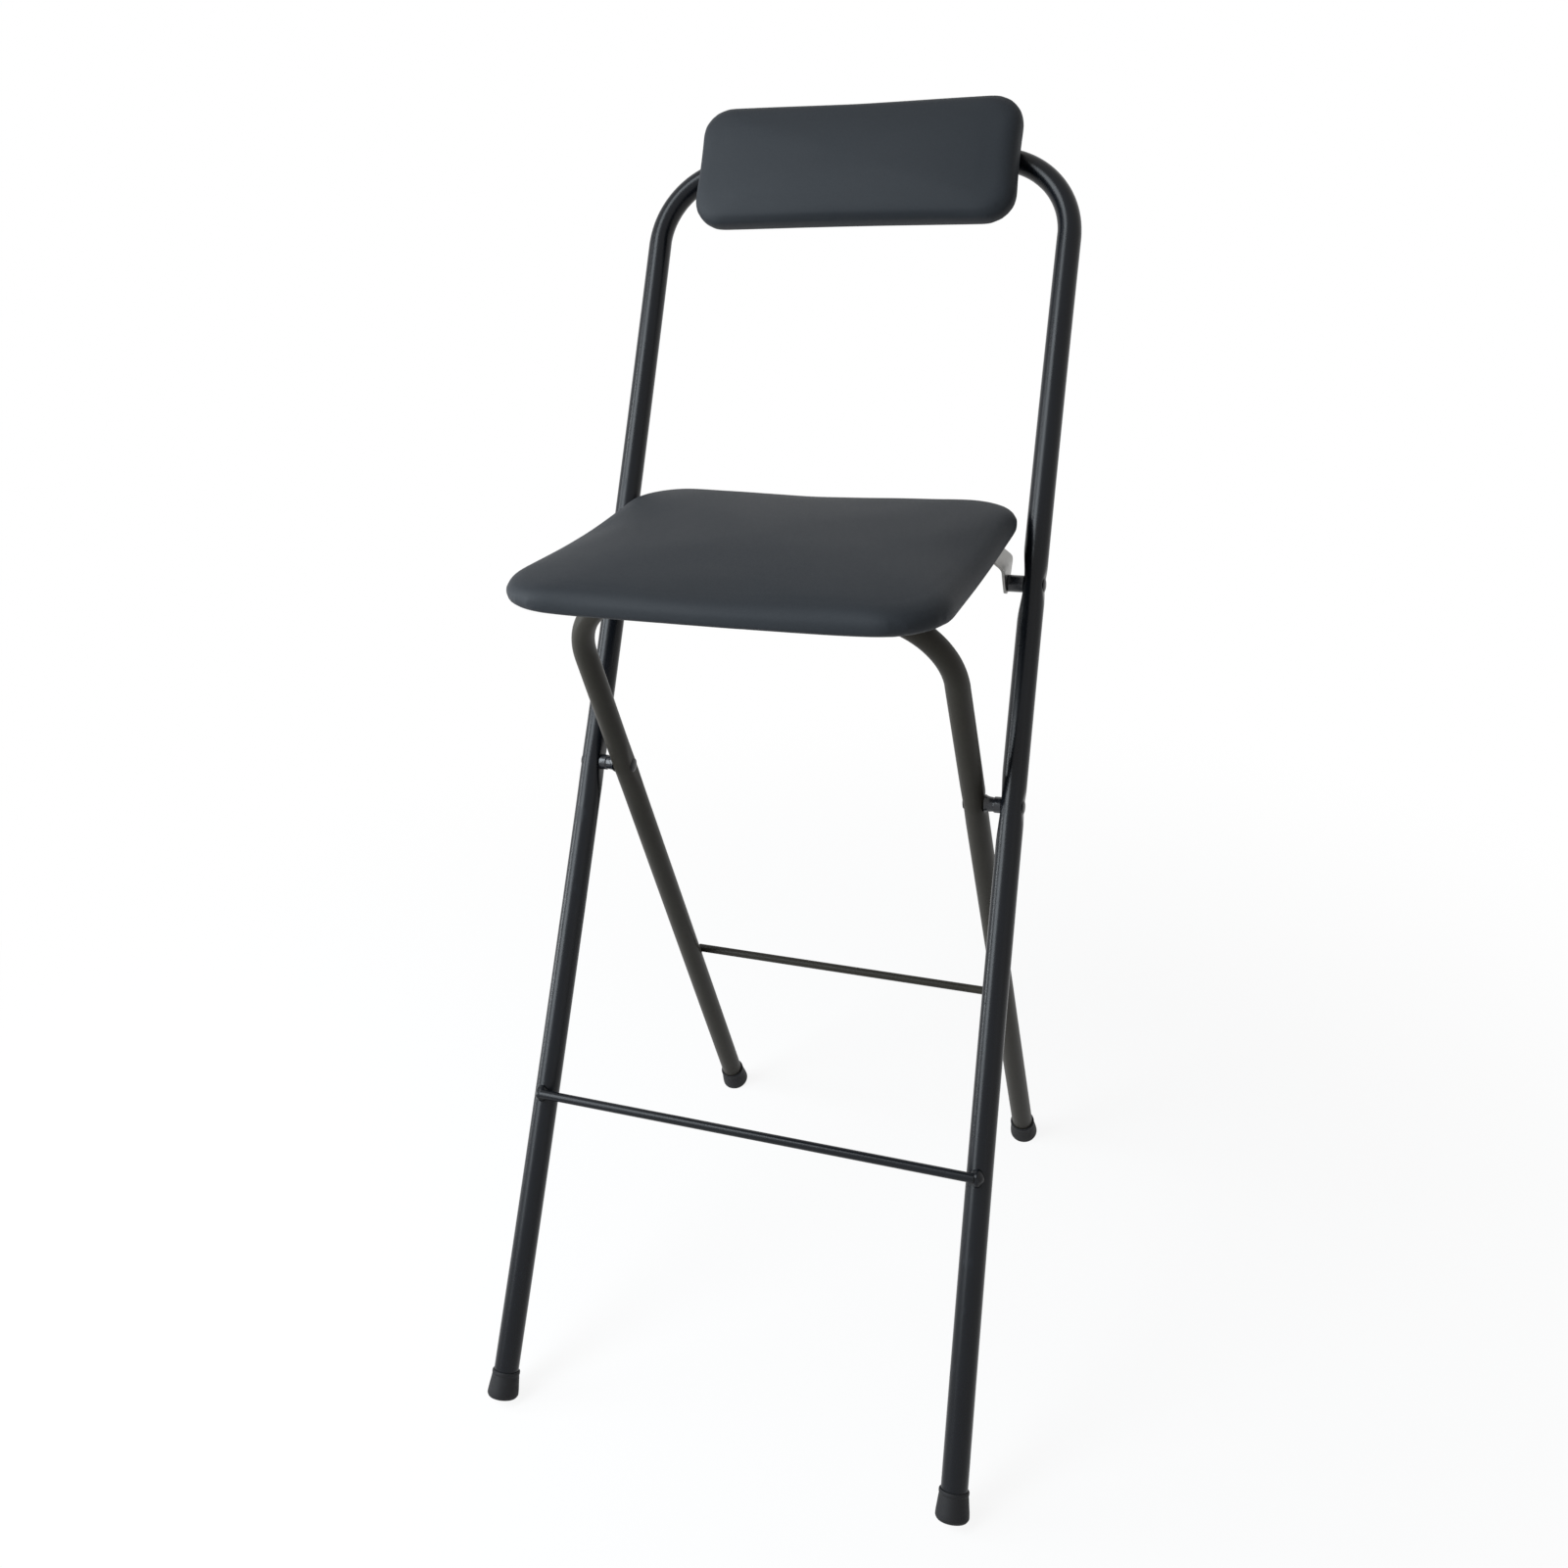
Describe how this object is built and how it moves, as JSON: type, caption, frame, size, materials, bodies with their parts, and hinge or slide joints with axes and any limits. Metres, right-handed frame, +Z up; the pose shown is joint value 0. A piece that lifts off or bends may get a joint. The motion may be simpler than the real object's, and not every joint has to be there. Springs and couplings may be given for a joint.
{
  "type": "folding bar stool",
  "caption": "Folding bar stool with a padded seat and back rest on a bent-tube frame; the seat tips up and the rear legs close flat.",
  "frame": {"origin": "on the floor, under the middle of the standing stool's footprint box", "axes": "+Z up, -Y the way a sitter faces, +X to the right as seen from the front"},
  "size_m": [0.4398, 0.61, 1.0644],
  "materials": {
    "frame_paint": "semi-gloss black powder coat on bent steel tube",
    "rear_paint": "satin brown-black powder coat on bent steel tube",
    "cap_rubber": "matt black moulded rubber",
    "vinyl": "matt blue-black upholstery vinyl with a fine grain",
    "foam": "open-cell cushion foam, hidden",
    "plywood": "plain plywood, hidden",
    "liner": "thin black non-woven liner",
    "nylon": "black moulded nylon",
    "zinc": "zinc-plated pressed steel"
  },
  "bodies": {
    "back_frame": {"outer_frame": "frame_paint", "footrest_rod": "frame_paint", "front_cap_left": "cap_rubber", "front_cap_right": "cap_rubber", "leg_pin_left": "frame_paint", "leg_pin_right": "frame_paint", "leg_bush_left": "nylon", "leg_bush_right": "nylon", "seat_pin_left": "frame_paint", "seat_pin_right": "frame_paint", "seat_spacer_left": "nylon", "seat_spacer_right": "nylon", "back_cover": "vinyl", "back_foam": "foam", "back_board": "plywood", "back_liner": "liner", "back_bolt_left": "frame_paint", "back_bolt_right": "frame_paint", "back_insert_left": "zinc", "back_insert_right": "zinc"},
    "rear_legs": {"inner_frame": "rear_paint", "rear_rod": "rear_paint", "rear_cap_left": "cap_rubber", "rear_cap_right": "cap_rubber"},
    "seat": {"seat_cover": "vinyl", "seat_foam": "foam", "seat_board": "plywood", "seat_liner": "liner", "seat_bracket_left": "zinc", "seat_bracket_right": "zinc", "saddle_left": "zinc", "saddle_right": "zinc", "bracket_screw_left_front": "zinc", "bracket_screw_left_rear": "zinc", "bracket_screw_right_front": "zinc", "bracket_screw_right_rear": "zinc", "saddle_screw_left_inner": "zinc", "saddle_screw_left_outer": "zinc", "saddle_screw_right_inner": "zinc", "saddle_screw_right_outer": "zinc"}
  },
  "joints": [
    {"name": "legs_fold", "type": "hinge", "parent": "back_frame", "child": "rear_legs", "pos_m": [0, -0.00693, 0.49739], "axis": [-1, 0, 0], "range_deg": [0, 50]},
    {"name": "seat_fold", "type": "hinge", "parent": "back_frame", "child": "seat", "pos_m": [0, 0.09051, 0.6648], "axis": [-1, 0, 0], "range_deg": [0, 119]}
  ],
  "couplings": [
    {"joint": "seat_fold", "follows": "legs_fold", "ratio": 2.38}
  ]
}
